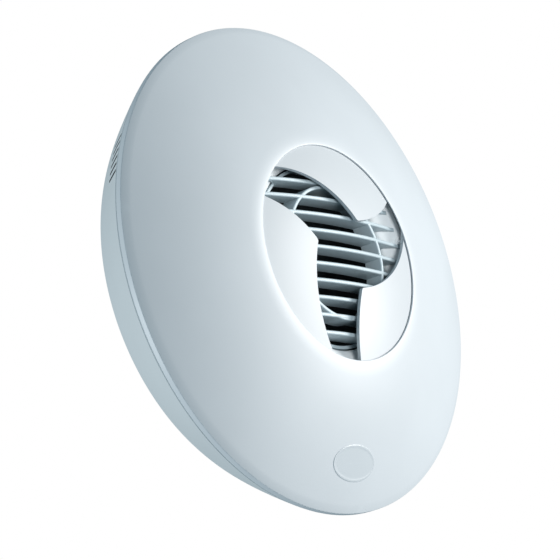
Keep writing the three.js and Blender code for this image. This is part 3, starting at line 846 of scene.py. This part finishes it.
def make_vane(index, direction):
    """One flat vane from the motor cup out to the bracket's ring."""
    half = 0.9
    section = rounded([
        (-half, BRACKET_BACK, 0.5), (half, BRACKET_BACK, 0.5),
        (half, BRACKET_FRONT, 0.5), (-half, BRACKET_FRONT, 0.5),
    ])
    spin = turn_about_axis(direction)
    ends = (MOTOR_R + 1.0, DUCT_R - 1.6)
    loops = [[spin @ (Vector((x, -h, z)) * MM) for z, h in section] for x in ends]
    return swept(f"bracket_vane_{index + 1}", loops)


def make_impeller():
    """The impeller's hollow hub and its blades."""
    bore = SHAFT_R + CLEAR
    core = 6.0
    skirt = HUB_R - 1.8
    foot = -2.5
    front = 15.0
    under = front - 2.5
    hub = rounded([
        (bore, -2.0, 0.2), (core, -2.0, 0.3), (core, under, 0.6), (skirt, under, 0.8), (skirt, foot, 0.3),
        (HUB_R, foot, 0.3), (HUB_R, front - 4, 1.5), (HUB_R - 1.6, front - 1, 1.5), (HUB_R - 5, front, 1.0),
        (bore, front, 0.2),
    ])
    parts = [turned("impeller_hub", hub, 128)]
    parts += [make_blade(i, 360.0 * i / BLADES) for i in range(BLADES)]
    return joined("impeller_wheel", parts)


def blade_point(r, share, side):
    """A point on one side of a blade, a share of half its chord from its middle, at a radius."""
    chord = 25.0
    middle = 7.0
    camber = 2.4
    root_pitch = 48
    tip_pitch = 28
    outward = (r - HUB_R + 3) / (TIP_R - HUB_R + 3)
    pitch = math.radians(root_pitch + (tip_pitch - root_pitch) * outward)
    along = chord / 2 * share
    thickness = 1.5 * (1 - 0.75 * share**2)
    lift = side * thickness + camber * (1 - share**2)
    h = middle + along * math.sin(pitch) + lift * math.cos(pitch)
    z = along * math.cos(pitch) - lift * math.sin(pitch)
    return Vector((math.sqrt(r * r - z * z), -h, z)) * MM


def make_blade(index, direction):
    """A twisted, cambered blade whose tip follows the duct."""
    steps = 20
    spin = turn_about_axis(direction)
    root = HUB_R - 0.8
    radii = [root + (TIP_R - root) * i / steps for i in range(steps + 1)]
    shares = [2 * k / steps - 1 for k in range(steps + 1)]
    front, back = ([[spin @ blade_point(r, share, side) for share in shares] for r in radii]
                   for side in (0.5, -0.5))
    return grid_shell(f"impeller_blade_{index + 1}", front, back, 40.0)


def make_cap():
    """The round nose that covers the shaft's end."""
    bore = SHAFT_R + CLEAR
    foot = 15.4
    tip = 23.6
    bore_end = tip - 2.2
    dome = bezier((9.0, foot), (8.8, tip), (0.0, tip), 20)
    return turned("impeller_nose", [(0.0, bore_end), (bore, bore_end), (bore, foot)] + dome, 96)


# ---- spigot and seal ----
def make_spigot():
    """The spigot with the flange that holds it against the base."""
    low = PLATE_T + CLEAR
    inner = SPIGOT_R - SPIGOT_T
    outline = rounded([
        (inner, -SPIGOT_L, 0.5), (SPIGOT_R, -SPIGOT_L, 0.8), (SPIGOT_R, low, 0), (SEAT_R, low, 0.3),
        (SEAT_R, low + 2, 0.3), (inner, low + 2, 0.3),
    ])
    return turned("spigot_shell", outline)


def make_seal():
    """The rubber ring round the spigot, with a rounded lip."""
    back = -31.0
    front = -27.8
    lip = (back + front) / 2
    outline = rounded([
        (SPIGOT_R + CLEAR, back, 0.1), (SPIGOT_R + 0.9, back, 0.3), (SPIGOT_R + 1.9, lip, 0.4),
        (SPIGOT_R + 0.9, front, 0.3), (SPIGOT_R + CLEAR, front, 0.1),
    ])
    return turned("spigot_seal_ring", outline, 180)


# ---- the pieces and the CAD nodes that they stand for ----
stands_for(make_cover(), "front_cover")
stands_for(make_badge(), "badge")
shade_slots(stands_for(make_base(), "base_housing"))
for leaf in range(3):
    stands_for(make_leaf(leaf), f"iris_leaf_{leaf + 1}")
stands_for(make_grille(), "louvre_grille")
stands_for(make_duct(), "air_duct")
stands_for(make_carrier(), "iris_carrier")
stands_for(make_motor_can(), "motor_housing")
stands_for(make_bracket(), "motor_bracket")
stands_for(make_impeller(), "impeller")
stands_for(make_cap(), "impeller_cap")
stands_for(make_spigot(), "spigot")
stands_for(make_seal(), "spigot_seal")
for node in frame["nodes"]:
    if node not in REPLACED:
        finish_node(node)


# ---- floor, light and camera ----
def make_stage():
    """A pale floor that neither lights the object nor shows in its gloss."""
    floor_material, _, _, floor_shader = new_material("floor_pale")
    floor_shader.inputs["Base Color"].default_value = (0.9, 0.9, 0.9, 1)
    floor_shader.inputs["Roughness"].default_value = 0.8
    floor_shader.inputs["Emission Color"].default_value = (0.93, 0.96, 1.0, 1)
    floor_shader.inputs["Emission Strength"].default_value = 0.5
    size = 30.0
    level = -5.0
    corners = [(-size, -size, level), (size, -size, level), (size, size, level), (-size, size, level)]
    floor = new_piece("floor", corners, [(0, 1, 2, 3)])
    floor.data.materials.append(floor_material)
    floor.visible_diffuse = False
    floor.visible_glossy = False


def area_light(name, position, target, size, power, colour, only=()):
    """A round soft light. only names the pieces it falls on, if it isn't for all of them."""
    data = bpy.data.lights.new(name, "AREA")
    data.shape = "DISK"
    data.size = size
    data.energy = power
    data.color = colour
    lamp = bpy.data.objects.new(name, data)
    bpy.context.scene.collection.objects.link(lamp)
    lamp.location = position
    lamp.rotation_euler = (Vector(target) - Vector(position)).to_track_quat("-Z", "Y").to_euler()
    if only:
        lit = bpy.data.collections.new(f"{name}_receivers")
        for piece in only:
            lit.objects.link(bpy.data.objects[piece])
        lamp.light_linking.receiver_collection = lit


def make_world():
    """A soft blue-grey surround for light, and plain white behind the object."""
    world = bpy.data.worlds.new("studio")
    bpy.context.scene.world = world
    world.use_nodes = True
    nodes = world.node_tree.nodes
    links = world.node_tree.links
    surround = nodes["Background"]
    surround.inputs["Color"].default_value = (0.50, 0.69, 0.80, 1)
    surround.inputs["Strength"].default_value = 0.36
    seen = nodes.new("ShaderNodeBackground")
    seen.inputs["Color"].default_value = (1, 1, 1, 1)
    seen.inputs["Strength"].default_value = 1.0
    ray = nodes.new("ShaderNodeLightPath")
    mix = nodes.new("ShaderNodeMixShader")
    links.new(ray.outputs["Is Camera Ray"], mix.inputs["Fac"])
    links.new(surround.outputs["Background"], mix.inputs[1])
    links.new(seen.outputs["Background"], mix.inputs[2])
    links.new(mix.outputs["Shader"], nodes["World Output"].inputs["Surface"])


VIEW_AZIMUTH = 51.05
VIEW_ELEVATION = -14.83
VIEW_ROLL = 9.50
VIEW_DISTANCE = 2.955
VIEW_LENS = 385.7
VIEW_AIM = (-0.0050, -0.0288, -0.0041)


def make_camera():
    """The photograph's viewing angle, from the camera's direction, roll and distance."""
    data = bpy.data.cameras.new("camera")
    data.lens = VIEW_LENS
    data.sensor_width = 36.0
    data.clip_end = 120.0
    camera = bpy.data.objects.new("camera", data)
    bpy.context.scene.collection.objects.link(camera)
    azimuth = math.radians(VIEW_AZIMUTH)
    elevation = math.radians(VIEW_ELEVATION)
    back = Vector((-math.sin(azimuth) * math.cos(elevation), -math.cos(azimuth) * math.cos(elevation),
                   math.sin(elevation)))
    right = Vector((0, 0, 1)).cross(back).normalized()
    up = back.cross(right)
    roll = math.radians(VIEW_ROLL)
    rolled_up = up * math.cos(roll) + right * math.sin(roll)
    rolled_right = rolled_up.cross(back)
    turn = Matrix((rolled_right, rolled_up, back)).transposed().to_4x4()
    camera.matrix_world = Matrix.Translation(Vector(VIEW_AIM) + back * VIEW_DISTANCE) @ turn
    bpy.context.scene.camera = camera


make_stage()
make_world()
area_light("key", (2.05, -2.3, 0.35), (0, -0.04, 0), 1.8, 92.0, (1.0, 0.975, 0.95))
area_light("back_fill", (-1.9, 1.3, -0.7), (0, 0, -0.03), 1.4, 29.0, (0.93, 0.98, 1.0))
area_light("mouth_fill", (-1.3, -2.4, -0.5), (0, -0.04, 0), 1.0, 40.0, (0.97, 0.99, 1.0),
           only=("iris_carrier_frame", "louvre_grille_moulding"))
area_light("front_fill", (1.2, -2.2, -1.3), (0, -0.04, 0), 1.4, 9.0, (1.0, 0.99, 0.98))
make_camera()
bpy.context.scene.view_settings.view_transform = "Standard"
